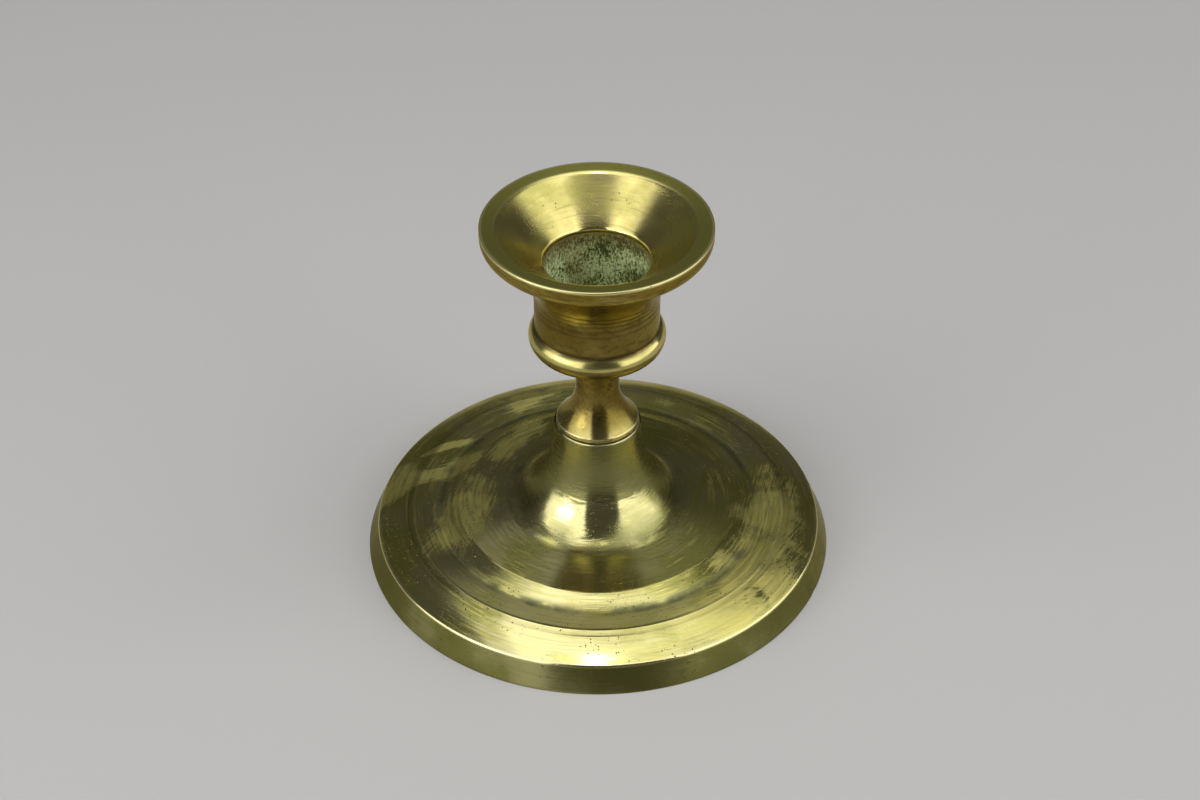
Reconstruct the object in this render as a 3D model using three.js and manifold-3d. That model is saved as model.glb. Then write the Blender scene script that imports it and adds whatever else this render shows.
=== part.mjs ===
// A low brass candlestick in four pieces: a hollow turned foot, a candle cup cast in one with its
// stem, and the slotted screw and washer that draw the cup down onto the foot from underneath.
// Millimetres, +Z up, origin on the table under the middle of the foot.
import * as THREE from 'three';
import { mergeVertices } from 'three/addons/utils/BufferGeometryUtils.js';
import Module from 'manifold-3d';

const wasm = await Module();
wasm.setup();

// Driving dimensions of the foot
const footRadius = 51;
const footWallHeight = 5.75;
const footWallLean = 2.45;
const footShell = 2.7;
const footHeight = 32;
const outerRingRadius = 40.7;
const outerRingRise = 2.85;
const outerLandWidth = 1.8;
const outerLandDrop = 0.57;
const innerRingRadius = 30.6;
const innerRingRise = 1.25;
const innerSlopeWidth = 4.5;
const innerSlopeDrop = 1.65;
const coneTopRadius = 9.3;
const coneTopChamfer = 0.4;
const coneSpread = 12.1;
const coneDrop = 20.7;
const bossThickness = 11;

// Driving dimensions of the candle cup, from the seat upwards
const spigotRadius = 5.2;
const spigotLength = 2;
const seamGap = 0.35;
const seamDepth = 0.75;
const knopRadius = 8.83;
const knopBand = 0.95;
const knopHeight = 9.3;
const knopFlareAngle = 50;
const knopFlareReach = 3.6;
const knopThroat = 3.4;
const neckRadius = 4.6;
const neckLength = 4.9;
const coveHeight = 4.7;
const beadRadius = 3.1;
const beadProjection = 1.3;
const candleBore = 22;
const socketWall = 2.1;
const socketFloor = 2.3;
const socketLength = 6.2;
const flareHeight = 13.4;
const flareStraight = 6.2;
const flareLead = 3.6;
const funnelDepth = 8.1;
const funnelWidth = 9.6;
const rimLand = 3.3;
const rimDish = 0.35;
const rimRound = 0.3;
const rimWall = 1.2;
const rimUnderWidth = 2.6;
const rimUnderHeight = 3.2;

// Driving dimensions of the joining screw and its washer
const screwRadius = 3;
const screwLength = 20;
const screwShank = 8;
const screwTipChamfer = 0.7;
const threadPitch = 1;
const threadDepth = 0.6;
const headRadius = 5;
const headHeight = 3.6;
const headChamfer = 0.4;
const slotWidth = 1.6;
const slotDepth = 1.8;
const washerRadius = 6;
const washerThickness = 1.6;

// Clearances between the pieces
const seatClearance = 0.3;
const shankClearance = 0.4;
const threadClearance = 0.25;
const tipClearance = 2;

// How finely the round forms are divided
const footSides = 48;
const cupSides = 40;
const screwSides = 20;
const curveSteps = 6;

// Heights and radii that follow from the driving dimensions
const footEdgeRadius = footRadius - footWallLean;
const outerRingHeight = footWallHeight + outerRingRise;
const innerRingHeight = outerRingHeight + innerRingRise;
const screwSeatHeight = footHeight - bossThickness;
const underHeadHeight = screwSeatHeight - washerThickness;
const shankHoleRadius = screwRadius + shankClearance;
const knopFoot = seamGap + knopBand;
const neckFoot = knopFoot + knopHeight;
const coveFoot = neckFoot + neckLength;
const beadFoot = coveFoot + coveHeight;
const socketFloorHeight = beadFoot + socketFloor;
const boreRadius = candleBore / 2;
const socketRadius = boreRadius + socketWall;
const beadCentreRadius = socketRadius + beadProjection - beadRadius;
const beadCentreHeight = beadFoot + beadRadius;
const beadTopAngle = Math.acos((socketRadius - beadCentreRadius) / beadRadius);
const socketFoot = beadCentreHeight + beadRadius * Math.sin(beadTopAngle);
const flareFoot = socketFoot + socketLength;
const flareTop = flareFoot + flareHeight;
const lipRadius = boreRadius + funnelWidth;
const rimRadius = lipRadius + rimLand;
const rimWallFoot = flareTop + rimUnderHeight;
const rimTop = rimWallFoot + rimWall + rimRound;
const lipHeight = rimTop - rimDish;
const boreTop = lipHeight - funnelDepth;

// A point of a turned profile: distance from the axis, height
function at(radius, height) {
  return new THREE.Vector2(radius, height);
}

// Points along part of an ellipse; angles run anticlockwise from straight outwards
function arc(centre, halfWidth, halfHeight, from, to, steps = curveSteps) {
  const clockwise = to < from;
  const curve = new THREE.EllipseCurve(centre.x, centre.y, halfWidth, halfHeight, from, to, clockwise);
  return curve.getPoints(steps);
}

// Points along a curve that leaves `start` towards `pull` and reaches `end` from `aim`
function sweep(start, pull, aim, end, steps = curveSteps) {
  return new THREE.CubicBezierCurve(start, pull, aim, end).getPoints(steps);
}

// The angle on an ellipse's lower left quarter where a straight line from `point` touches it
function touchAngle(centre, halfWidth, halfHeight, point) {
  const across = (point.x - centre.x) / halfWidth;
  const up = (point.y - centre.y) / halfHeight;
  return Math.atan2(up, across) + 2 * Math.PI - Math.acos(1 / Math.hypot(across, up));
}

// A profile turned about the vertical axis; points that coincide are dropped
function turned(profile, sides) {
  const points = profile.filter((p, i) => i === 0 || p.distanceTo(profile[i - 1]) > 1e-6);
  const geometry = new THREE.LatheGeometry(points, sides);
  geometry.rotateX(Math.PI / 2);
  return geometry;
}

// A geometry as a solid that can be joined and cut
function solid(geometry) {
  geometry.deleteAttribute('normal');
  geometry.deleteAttribute('uv');
  const merged = mergeVertices(geometry);
  const corners = merged.index.array;
  const kept = [];
  for (let i = 0; i < corners.length; i += 3) {
    const [a, b, c] = corners.slice(i, i + 3);
    if (a !== b && b !== c && c !== a) kept.push(a, b, c);
  }
  const mesh = new wasm.Mesh({
    numProp: 3,
    vertProperties: merged.attributes.position.array,
    triVerts: new Uint32Array(kept),
  });
  return new wasm.Manifold(mesh);
}

// A solid back as a geometry
function geometryOf(body) {
  const mesh = body.getMesh();
  const geometry = new THREE.BufferGeometry();
  geometry.setAttribute('position', new THREE.BufferAttribute(mesh.vertProperties, 3));
  geometry.setIndex(new THREE.BufferAttribute(mesh.triVerts, 1));
  geometry.computeVertexNormals();
  return geometry;
}

// A rod with a right-hand thread from `bottom` to `top`. Each turn has four helical rows: the root
// is a quarter of the pitch wide and the crest an eighth, with equal flanks between. The rod starts
// and ends on a ragged step, a turn outside the stretch asked for, so it is trimmed afterwards.
function threadedRod(crestRadius, bottom, top) {
  const rootRadius = crestRadius - threadDepth;
  const rows = [
    { share: 0, radius: rootRadius },
    { share: 1 / 4, radius: rootRadius },
    { share: 9 / 16, radius: crestRadius },
    { share: 11 / 16, radius: crestRadius },
  ];
  const firstTurn = Math.floor(bottom / threadPitch) - 2;
  const lastTurn = Math.ceil(top / threadPitch) + 1;
  const rowCount = (lastTurn - firstTurn) * rows.length;
  const columns = screwSides + 1;
  const positions = [];
  for (let j = 0; j <= rowCount; j += 1) {
    const turn = firstTurn + Math.floor(j / rows.length);
    const { share, radius } = rows[j % rows.length];
    for (let i = 0; i < columns; i += 1) {
      const angle = (2 * Math.PI * i) / screwSides;
      const height = (turn + share + i / screwSides) * threadPitch;
      positions.push(radius * Math.cos(angle), radius * Math.sin(angle), height);
    }
  }
  const below = positions.length / 3;
  const above = below + 1;
  positions.push(0, 0, (firstTurn - 1) * threadPitch);
  positions.push(0, 0, (lastTurn + 2) * threadPitch);
  const vertex = (i, j) => j * columns + i;
  const index = [];
  for (let i = 0; i < screwSides; i += 1) {
    for (let j = 0; j < rowCount; j += 1) {
      index.push(vertex(i, j), vertex(i + 1, j), vertex(i + 1, j + 1));
      index.push(vertex(i, j), vertex(i + 1, j + 1), vertex(i, j + 1));
    }
    index.push(below, vertex(i + 1, 0), vertex(i, 0));
    index.push(above, vertex(i, rowCount), vertex(i + 1, rowCount));
  }
  for (let j = 0; j < rows.length; j += 1) {
    index.push(below, vertex(0, j), vertex(0, j + 1));
    index.push(above, vertex(screwSides, rowCount - j), vertex(screwSides, rowCount - j - 1));
  }
  const geometry = new THREE.BufferGeometry();
  geometry.setAttribute('position', new THREE.Float32BufferAttribute(positions, 3));
  geometry.setIndex(index);
  return solid(geometry);
}

// The foot: a side wall that leans in, two stepped rings, a shallow bowl and a cone that sweeps up
// to the seat. The underside is hollow, with a thick boss under the seat for the screw.
function footProfile() {
  const sweepCentre = at(coneTopRadius + coneSpread, footHeight - coneTopChamfer);
  const innerRing = at(innerRingRadius, innerRingHeight);
  const bowlTouch = touchAngle(sweepCentre, coneSpread, coneDrop, innerRing);
  const hollowSpread = coneSpread + footShell;
  const hollowDrop = coneDrop + footShell;
  const hollowCorner = at(footEdgeRadius - footShell, footWallHeight - footShell);
  const hollowTouch = touchAngle(sweepCentre, hollowSpread, hollowDrop, hollowCorner);
  const seatDrop = (sweepCentre.y - screwSeatHeight) / hollowDrop;
  const seatAngle = Math.PI + Math.asin(seatDrop);
  const recessRadius = spigotRadius + seatClearance;
  const recessFloor = footHeight - spigotLength - seatClearance;
  const outline = [
    at(footRadius, 0),
    at(footEdgeRadius, footWallHeight),
    at(outerRingRadius + outerLandWidth, outerRingHeight - outerLandDrop),
    at(outerRingRadius, outerRingHeight),
    at(innerRingRadius + innerSlopeWidth, innerRingHeight - innerSlopeDrop),
    innerRing,
    ...arc(sweepCentre, coneSpread, coneDrop, bowlTouch, Math.PI, 2 * curveSteps),
    at(coneTopRadius - coneTopChamfer, footHeight),
    at(recessRadius, footHeight),
    at(recessRadius, recessFloor),
    at(shankHoleRadius, recessFloor),
    at(shankHoleRadius, screwSeatHeight),
    ...arc(sweepCentre, hollowSpread, hollowDrop, seatAngle, hollowTouch, curveSteps),
    hollowCorner,
    at(footRadius - footShell, 0),
  ];
  return [...outline, outline[0]];
}

// The candle cup from the axis underneath, up the outside, over the rim and down to the socket
// floor. Heights are above the seat on the foot.
function cupProfile() {
  const flareAngle = THREE.MathUtils.degToRad(knopFlareAngle);
  const flareIn = knopFlareReach * Math.sin(flareAngle);
  const flareUp = knopFlareReach * Math.cos(flareAngle);
  const beadCentre = at(beadCentreRadius, beadCentreHeight);
  const coveWidth = beadCentreRadius - neckRadius;
  const flareFootPoint = at(socketRadius, flareFoot);
  const flareTopPoint = at(rimRadius - rimUnderWidth, flareTop);
  const rimWallPoint = at(rimRadius, rimWallFoot);
  return [
    at(0, -spigotLength),
    at(spigotRadius, -spigotLength),
    at(spigotRadius, 0),
    at(knopRadius - seamDepth, 0),
    at(knopRadius, seamGap),
    ...sweep(
      at(knopRadius, knopFoot),
      at(knopRadius - flareIn, knopFoot + flareUp),
      at(neckRadius, neckFoot - knopThroat),
      at(neckRadius, neckFoot),
      curveSteps + 2,
    ),
    ...arc(at(beadCentreRadius, coveFoot), coveWidth, coveHeight, Math.PI, Math.PI / 2),
    ...arc(beadCentre, beadRadius, beadRadius, -Math.PI / 2, beadTopAngle, curveSteps + 1),
    ...sweep(
      flareFootPoint,
      at(socketRadius, flareFoot + flareStraight),
      at(flareTopPoint.x - flareLead, flareTop - flareLead),
      flareTopPoint,
    ),
    ...sweep(
      flareTopPoint,
      at(rimRadius - rimUnderWidth / 4, flareTop + rimUnderHeight / 4),
      at(rimRadius, rimWallFoot - rimUnderHeight / 2),
      rimWallPoint,
      curveSteps - 2,
    ),
    ...arc(at(rimRadius - rimRound, rimTop - rimRound), rimRound, rimRound, 0, Math.PI / 2, 3),
    at(lipRadius, lipHeight),
    at(boreRadius, boreTop),
    at(boreRadius, socketFloorHeight),
    at(0, socketFloorHeight),
  ];
}

// The threaded hole in the cup's underside, cut to fit the screw with the thread clearance. It is
// made in the screw's own frame, so that the two threads are in mesh, and moved to the cup's.
function cupHole() {
  const mouth = footHeight - spigotLength - underHeadHeight;
  const end = screwLength + tipClearance;
  const crest = screwRadius + threadClearance;
  const trim = turned(
    [
      at(0, mouth - threadPitch),
      at(crest + threadPitch, mouth - threadPitch),
      at(crest + threadPitch, end - crest),
      at(0, end),
    ],
    screwSides,
  );
  const countersink = turned(
    [
      at(0, mouth - threadPitch),
      at(crest + threadPitch, mouth - threadPitch),
      at(crest - threadDepth, mouth + threadDepth),
      at(0, mouth + threadDepth),
    ],
    screwSides,
  );
  const hole = threadedRod(crest, mouth, end).intersect(solid(trim)).add(solid(countersink));
  return hole.translate([0, 0, underHeadHeight - footHeight]);
}

// The screw, from the underside of its head: the head hangs below, the shank and thread stand up
function screwSolid() {
  const head = turned(
    [
      at(0, -headHeight),
      at(headRadius - headChamfer, -headHeight),
      at(headRadius, headChamfer - headHeight),
      at(headRadius, 0),
      at(screwRadius, 0),
      at(screwRadius, screwShank - threadDepth),
      at(screwRadius - threadDepth, screwShank),
      at(0, screwShank),
    ],
    screwSides,
  );
  const trim = turned(
    [
      at(0, screwShank - threadPitch),
      at(screwRadius + threadPitch, screwShank - threadPitch),
      at(screwRadius + threadPitch, screwLength - screwTipChamfer - threadPitch),
      at(screwRadius - screwTipChamfer, screwLength),
      at(0, screwLength),
    ],
    screwSides,
  );
  const slot = new THREE.BoxGeometry(3 * headRadius, slotWidth, 2 * slotDepth);
  slot.translate(0, 0, -headHeight);
  const thread = threadedRod(screwRadius, screwShank, screwLength).intersect(solid(trim));
  return solid(head).add(thread).subtract(solid(slot));
}

// The washer: a flat ring with the shank's hole
function washerProfile() {
  const outline = [
    at(shankHoleRadius, 0),
    at(washerRadius, 0),
    at(washerRadius, washerThickness),
    at(shankHoleRadius, washerThickness),
  ];
  return [...outline, outline[0]];
}

function piece(name, geometry, height, color, roughness) {
  const material = new THREE.MeshStandardMaterial({ color, roughness, metalness: 1 });
  const mesh = new THREE.Mesh(geometry, material);
  mesh.name = name;
  mesh.position.z = height;
  return mesh;
}

const cup = solid(turned(cupProfile(), cupSides)).subtract(cupHole());

const candlestick = new THREE.Group();
candlestick.add(
  piece('foot', turned(footProfile(), footSides), 0, '#a89b58', 0.32),
  piece('candle_cup', geometryOf(cup), footHeight, '#b5a862', 0.24),
  piece('washer', turned(washerProfile(), screwSides), underHeadHeight, '#8f8148', 0.45),
  piece('joining_screw', geometryOf(screwSolid()), underHeadHeight, '#94854a', 0.4),
);

export default candlestick;
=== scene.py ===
import math
import bpy
import numpy as np
from mathutils import Matrix, Vector


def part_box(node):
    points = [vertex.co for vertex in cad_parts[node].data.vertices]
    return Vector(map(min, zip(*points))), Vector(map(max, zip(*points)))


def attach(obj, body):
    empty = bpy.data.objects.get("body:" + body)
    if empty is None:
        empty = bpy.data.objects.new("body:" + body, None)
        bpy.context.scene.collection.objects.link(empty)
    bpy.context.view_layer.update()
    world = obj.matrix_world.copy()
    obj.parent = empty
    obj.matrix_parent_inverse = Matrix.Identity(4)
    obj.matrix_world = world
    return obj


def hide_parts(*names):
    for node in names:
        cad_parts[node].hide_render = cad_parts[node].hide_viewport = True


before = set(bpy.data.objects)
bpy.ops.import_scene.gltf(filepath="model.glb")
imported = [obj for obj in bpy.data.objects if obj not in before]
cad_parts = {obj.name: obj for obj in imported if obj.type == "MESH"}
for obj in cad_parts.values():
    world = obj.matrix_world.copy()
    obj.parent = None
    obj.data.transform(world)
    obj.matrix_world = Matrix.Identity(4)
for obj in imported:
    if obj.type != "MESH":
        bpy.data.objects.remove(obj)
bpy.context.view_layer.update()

# The foot
# A hollow brass casting, turned all over on the outside: a wall that leans in, two stepped rings, a
# shallow bowl and a cone that sweeps up to the seat. Hand-polished many times, tarnished in patches.
mm = 0.001
foot_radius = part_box("foot")[1][0]
seat_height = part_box("foot")[1][2]
wall_height = 5.75 * mm
wall_lean = 2.45 * mm
wall_foot_round = 0.3 * mm
wall_dull_share = 0.9
edge_round = 0.25 * mm
outer_swell = np.array([45.7, 7.02]) * mm
outer_swell_round = 2 * mm
outer_land = np.array([42.5, 8.03]) * mm
outer_land_round = 0.4 * mm
outer_land_dull_share = 0.4
outer_ring = np.array([40.7, 8.6]) * mm
outer_ring_round = 0.2 * mm
inner_foot = np.array([35.1, 8.2]) * mm
inner_slope = np.array([33.4, 8.79]) * mm
inner_swell = np.array([32.2, 9.24]) * mm
inner_step_round = 0.5 * mm
inner_ring = np.array([30.6, 9.85]) * mm
inner_ring_round = 0.3 * mm
cone_top_radius = 9.3 * mm
cone_chamfer = 0.4 * mm
cone_spread = 12.1 * mm
cone_drop = 20.7 * mm
cone_points = 110
cone_top_gap = 0.02
foot_shell = 2.7 * mm
hollow_round = 1.2 * mm
hollow_points = 40
boss_thickness = 11 * mm
recess_radius = 5.5 * mm
recess_depth = 2.3 * mm
shank_hole_radius = 3.4 * mm
shank_hole_round = 0.2 * mm
broken_edge = 0.1 * mm
seldom_polished = 0.3
never_polished = 1.0
foot_sides = 200
foot_spacing = 0.45 * mm
corner_points = 8
worn_reach = 0.35 * mm
hollow_reach = 1.1 * mm
same_place = 1e-7
tiny = 1e-12


def corner(radius, height, reach, finish=0.0):
    """One point of an outline: where it is, how far its rounding reaches, and its finish, from 0 where
    it is often polished to 1 where it never is."""
    return np.array([[radius, height, finish, reach]])


def arc(centre, half_width, half_height, start, end, count, finish=0.0):
    """Points on an ellipse: its centre plus the half axes times the cosine and sine of the angle."""
    angle = np.linspace(start, end, count)
    radius = centre[0] + half_width * np.cos(angle)
    height = centre[1] + half_height * np.sin(angle)
    return np.stack([radius, height, np.full(count, finish), np.zeros(count)], axis=1)


def sweep(start, pull, aim, end, count, finish=0.0):
    """Points on a cubic curve: four control points weighted by the Bernstein terms. The finish may
    change evenly from a first to a last value."""
    t = np.linspace(0, 1, count)[:, None]
    weights = np.hstack([(1 - t) ** 3, 3 * t * (1 - t) ** 2, 3 * t ** 2 * (1 - t), t ** 3])
    points = weights @ np.array([start, pull, aim, end])
    finishes = np.interp(t, [0, 1], np.broadcast_to(finish, 2))
    return np.hstack([points, finishes, np.zeros((count, 1))])


def touch_angle(centre, half_width, half_height, point):
    """The angle on an ellipse's lower left quarter where a straight line from the point touches it:
    on the unit circle, the point's own angle less the arc cosine of one over its distance."""
    across = (point[0] - centre[0]) / half_width
    up = (point[1] - centre[1]) / half_height
    return math.atan2(up, across) + 2 * math.pi - math.acos(1 / math.hypot(across, up))


def profile_from(outline, spacing, closed):
    """Rounds an outline's corners and fills its long stretches. Each corner becomes the quadratic
    curve from `reach` before it to `reach` after it, with the corner as control point; then each
    stretch longer than the spacing is cut into equal steps."""
    points, reach = outline[:, :3], outline[:, 3:]
    to_last = np.roll(points, 1, axis=0) - points
    to_next = np.roll(points, -1, axis=0) - points
    to_last /= np.linalg.norm(to_last[:, :2], axis=1, keepdims=True) + tiny
    to_next /= np.linalg.norm(to_next[:, :2], axis=1, keepdims=True) + tiny
    t = np.linspace(0, 1, corner_points)[None, :, None]
    start = (points + reach * to_last)[:, None]
    end = (points + reach * to_next)[:, None]
    curve = (1 - t) ** 2 * start + 2 * t * (1 - t) * points[:, None] + t ** 2 * end
    curve = curve.reshape(-1, 3)
    if closed:
        curve = np.vstack([curve, curve[:1]])
    length = np.linalg.norm(np.diff(curve[:, :2], axis=0), axis=1)
    curve = curve[np.r_[True, length > same_place]]
    length = np.linalg.norm(np.diff(curve[:, :2], axis=0), axis=1)
    parts = np.ceil(length / spacing).astype(int)
    first = np.repeat(np.arange(len(parts)), parts)
    share = (np.arange(parts.sum()) - np.repeat(np.cumsum(parts) - parts, parts)) / parts[first]
    filled = curve[first] + share[:, None] * (curve[first + 1] - curve[first])
    return filled if closed else np.vstack([filled, curve[-1:]])


def bends(profile):
    """How sharply a profile turns outwards (worn) and inwards (hollow) near each of its points: its
    turning angles, spread along it by a bell curve."""
    step = np.diff(profile[:, :2], axis=0, append=profile[:1, :2])
    heading = np.arctan2(step[:, 1], step[:, 0])
    turning = (heading - np.roll(heading, 1) + np.pi) % (2 * np.pi) - np.pi
    along = np.r_[0, np.cumsum(np.linalg.norm(step, axis=1))[:-1]]
    apart = along[:, None] - along[None, :]
    worn = np.exp(-((apart / worn_reach) ** 2)) @ np.clip(turning, 0, None)
    hollow = np.exp(-((apart / hollow_reach) ** 2)) @ np.clip(-turning, 0, None)
    return worn[:, None], hollow[:, None]


def turned(name, profile, sides, shape=None):
    """A surface of revolution: row i, column j is (radius cos, radius sin, height) at the j-th angle.
    Ends on the axis close in one point each; a profile with no such ends closes on itself. `shape` may
    move the rows and say where it dents them. Attributes keep the dents, the finish and the bends."""
    angle = 2 * np.pi * np.arange(sides) / sides
    radius = np.repeat(profile[:, :1], sides, axis=1)
    height = np.repeat(profile[:, 1:2], sides, axis=1)
    dent = np.zeros_like(radius)
    if shape:
        radius, height, dent = shape(radius, height, angle[None, :])
    grid = np.stack([radius * np.cos(angle), radius * np.sin(angle), height], axis=2)
    on_axis = profile[:, 0] < same_place
    rings = np.flatnonzero(~on_axis)
    vertices = grid[rings].reshape(-1, 3)
    row = np.arange(len(rings) - (1 if on_axis.any() else 0))[:, None] * sides
    row_above = (row + sides) % len(vertices)
    column = np.arange(sides)[None, :]
    beside = (column + 1) % sides
    corners = (row + column, row + beside, row_above + beside, row_above + column)
    faces = np.stack(corners, axis=2).reshape(-1, 4).tolist()
    if on_axis.any():
        vertices = np.vstack([vertices, grid[[0, -1], 0]])
        bottom, top = len(vertices) - 2, len(vertices) - 1
        last = (len(rings) - 1) * sides
        faces += np.stack([np.full(sides, bottom), beside[0], column[0]], axis=1).tolist()
        faces += np.stack([np.full(sides, top), last + column[0], last + beside[0]], axis=1).tolist()
    mesh = bpy.data.meshes.new(name)
    mesh.from_pydata(vertices, [], faces)
    worn, hollow = bends(profile)
    spread = {"finish": profile[:, 2:], "worn": worn, "hollow": hollow, "dent": dent}
    for label, values in spread.items():
        values = np.broadcast_to(values, radius.shape)
        each = values[rings].ravel()
        each = np.r_[each, values[[0, -1], 0]] if on_axis.any() else each
        mesh.attributes.new(label, "FLOAT", "POINT").data.foreach_set("value", each)
    mesh.shade_smooth()
    piece = bpy.data.objects.new(name, mesh)
    bpy.context.scene.collection.objects.link(piece)
    return piece


edge_radius = foot_radius - wall_lean
cone_centre = (cone_top_radius + cone_spread, seat_height - cone_chamfer)
bowl_touch = touch_angle(cone_centre, cone_spread, cone_drop, inner_ring)
hollow_spread = cone_spread + foot_shell
hollow_drop = cone_drop + foot_shell
hollow_corner = (edge_radius - foot_shell, wall_height - foot_shell)
hollow_touch = touch_angle(cone_centre, hollow_spread, hollow_drop, hollow_corner)
screw_seat_height = seat_height - boss_thickness
screw_seat_angle = math.pi + math.asin((cone_centre[1] - screw_seat_height) / hollow_drop)
recess_floor = seat_height - recess_depth
foot_outline = np.vstack([
    corner(foot_radius, 0, wall_foot_round, seldom_polished),
    corner(foot_radius - wall_dull_share * wall_lean, wall_dull_share * wall_height, 0, seldom_polished),
    corner(edge_radius, wall_height, edge_round),
    corner(*outer_swell, outer_swell_round),
    corner(*outer_land, outer_land_round, outer_land_dull_share * seldom_polished),
    corner(*outer_ring, outer_ring_round),
    corner(*inner_foot, inner_step_round),
    corner(*inner_slope, inner_step_round),
    corner(*inner_swell, inner_step_round),
    corner(*inner_ring, inner_ring_round),
    arc(cone_centre, cone_spread, cone_drop, bowl_touch, math.pi - cone_top_gap, cone_points),
    corner(cone_top_radius, seat_height - cone_chamfer, broken_edge),
    corner(cone_top_radius - cone_chamfer, seat_height, broken_edge),
    corner(recess_radius, seat_height, broken_edge, never_polished),
    corner(recess_radius, recess_floor, broken_edge, never_polished),
    corner(shank_hole_radius, recess_floor, broken_edge, never_polished),
    corner(shank_hole_radius, screw_seat_height, shank_hole_round, never_polished),
    arc(cone_centre, hollow_spread, hollow_drop, screw_seat_angle, hollow_touch, hollow_points,
        never_polished),
    corner(*hollow_corner, hollow_round, never_polished),
    corner(foot_radius - foot_shell, 0, wall_foot_round, never_polished),
])

groove_radii = np.array([41.2, 41.65, 42.1]) * mm
groove_width = 0.12 * mm
groove_depth = 0.015 * mm
nick_angle = math.radians(-24)
nick_width = 0.5 * mm
nick_depth = 0.35 * mm


def foot_marks(radius, height, angle):
    """Fine turned grooves, each a bell curve in radius cut from the height, on the outside only; and
    one nick in the lower edge, a bell curve in distance cut from the radius."""
    outside = height > wall_height
    from_groove = (radius[..., None] - groove_radii) / groove_width
    groove = outside * np.exp(-(from_groove ** 2)).sum(axis=2)
    around = (angle - nick_angle + np.pi) % (2 * np.pi) - np.pi
    distance = np.hypot(around * foot_radius, height) / nick_width
    nick = (radius > edge_radius) * np.exp(-(distance ** 2))
    return radius - nick_depth * nick, height - groove_depth * groove, np.maximum(groove, nick)


foot = turned("turned_foot", profile_from(foot_outline, foot_spacing, True), foot_sides, foot_marks)


def add(tree, kind, inputs=None, **settings):
    """Adds a node. `inputs` gives each named or numbered socket a value or another node's output."""
    node = tree.nodes.new(kind)
    for label, value in settings.items():
        setattr(node, label, value)
    for label, value in (inputs or {}).items():
        if isinstance(value, bpy.types.NodeSocket):
            tree.links.new(value, node.inputs[label])
        else:
            node.inputs[label].default_value = value
    return node


def reckon(tree, operation, *values):
    """The result of a Math node."""
    return add(tree, "ShaderNodeMath", dict(enumerate(values)), operation=operation).outputs[0]


def times(tree, first, *others):
    """Several values multiplied: with masks, the places that lie in all of them."""
    for other in others:
        first = reckon(tree, "MULTIPLY", first, other)
    return first


def most(tree, first, *others):
    """The greatest of several values: with masks, the places that lie in any of them."""
    for other in others:
        first = reckon(tree, "MAXIMUM", first, other)
    return first


def but_not(tree, mask):
    """The places outside a mask: one less the mask."""
    return reckon(tree, "SUBTRACT", 1.0, mask)


def add_up(tree, total, shares):
    """A starting value plus each of the masks times its own amount."""
    for mask, amount in shares:
        total = reckon(tree, "MULTIPLY_ADD", mask, amount, total)
    return total


def ease(tree, value, low, high, start=0.0, end=1.0):
    """Takes a value from low..high to start..end, with a smooth step."""
    inputs = {"Value": value, "From Min": low, "From Max": high, "To Min": start, "To Max": end}
    return add(tree, "ShaderNodeMapRange", inputs, interpolation_type="SMOOTHSTEP").outputs["Result"]


def coats(tree, colour, layers):
    """A colour with others laid over it in turn, each by its own mask."""
    for mask, over in layers:
        colour = add(tree, "ShaderNodeMix", {0: mask, 6: colour, 7: over}, data_type="RGBA").outputs[2]
    return colour


def noise(tree, vector, scale, detail=2.0):
    """The value of a noise texture."""
    inputs = {"Vector": vector, "Scale": scale, "Detail": detail}
    return add(tree, "ShaderNodeTexNoise", inputs).outputs[0]


def scaled(tree, vector, factors):
    """A vector with each of its parts multiplied by its own factor."""
    return add(tree, "ShaderNodeVectorMath", {0: vector, 1: factors}, operation="MULTIPLY").outputs[0]


def off_axis(tree, place):
    """The way out from the axis, as a level vector and as a distance."""
    flat = scaled(tree, place, (1, 1, 0))
    return flat, add(tree, "ShaderNodeVectorMath", {0: flat}, operation="LENGTH").outputs["Value"]


def drawn_out(tree, place, turn, stretch):
    """A place turned about the axis and shrunk along one way, so that a noise there becomes strands."""
    inputs = {"Vector": place, "Angle": turn}
    along = add(tree, "ShaderNodeVectorRotate", inputs, rotation_type="Z_AXIS").outputs[0]
    return scaled(tree, along, (stretch, 1, 1))


def covered(tree, value, cover, low, high):
    """A mask of where a noise passes one less the cover, softly from low to high around there."""
    return ease(tree, reckon(tree, "SUBTRACT", value, but_not(tree, cover)), low, high)


def effect(name, inputs, outputs):
    """An empty node group, with its input and output sockets by name."""
    tree = bpy.data.node_groups.new(name, "ShaderNodeTree")
    for label, value in inputs.items():
        kind = "NodeSocketVector" if label == "Place" else "NodeSocketFloat"
        socket = tree.interface.new_socket(label, in_out="INPUT", socket_type=kind)
        if label != "Place":
            socket.default_value = value
    for label in outputs:
        tree.interface.new_socket(label, in_out="OUTPUT", socket_type="NodeSocketFloat")
    return tree, tree.nodes.new("NodeGroupInput").outputs, tree.nodes.new("NodeGroupOutput").inputs


def use(tree, group, **inputs):
    """Places a node group in a material and gives its outputs."""
    return add(tree, "ShaderNodeGroup", inputs, node_tree=group).outputs


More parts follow.
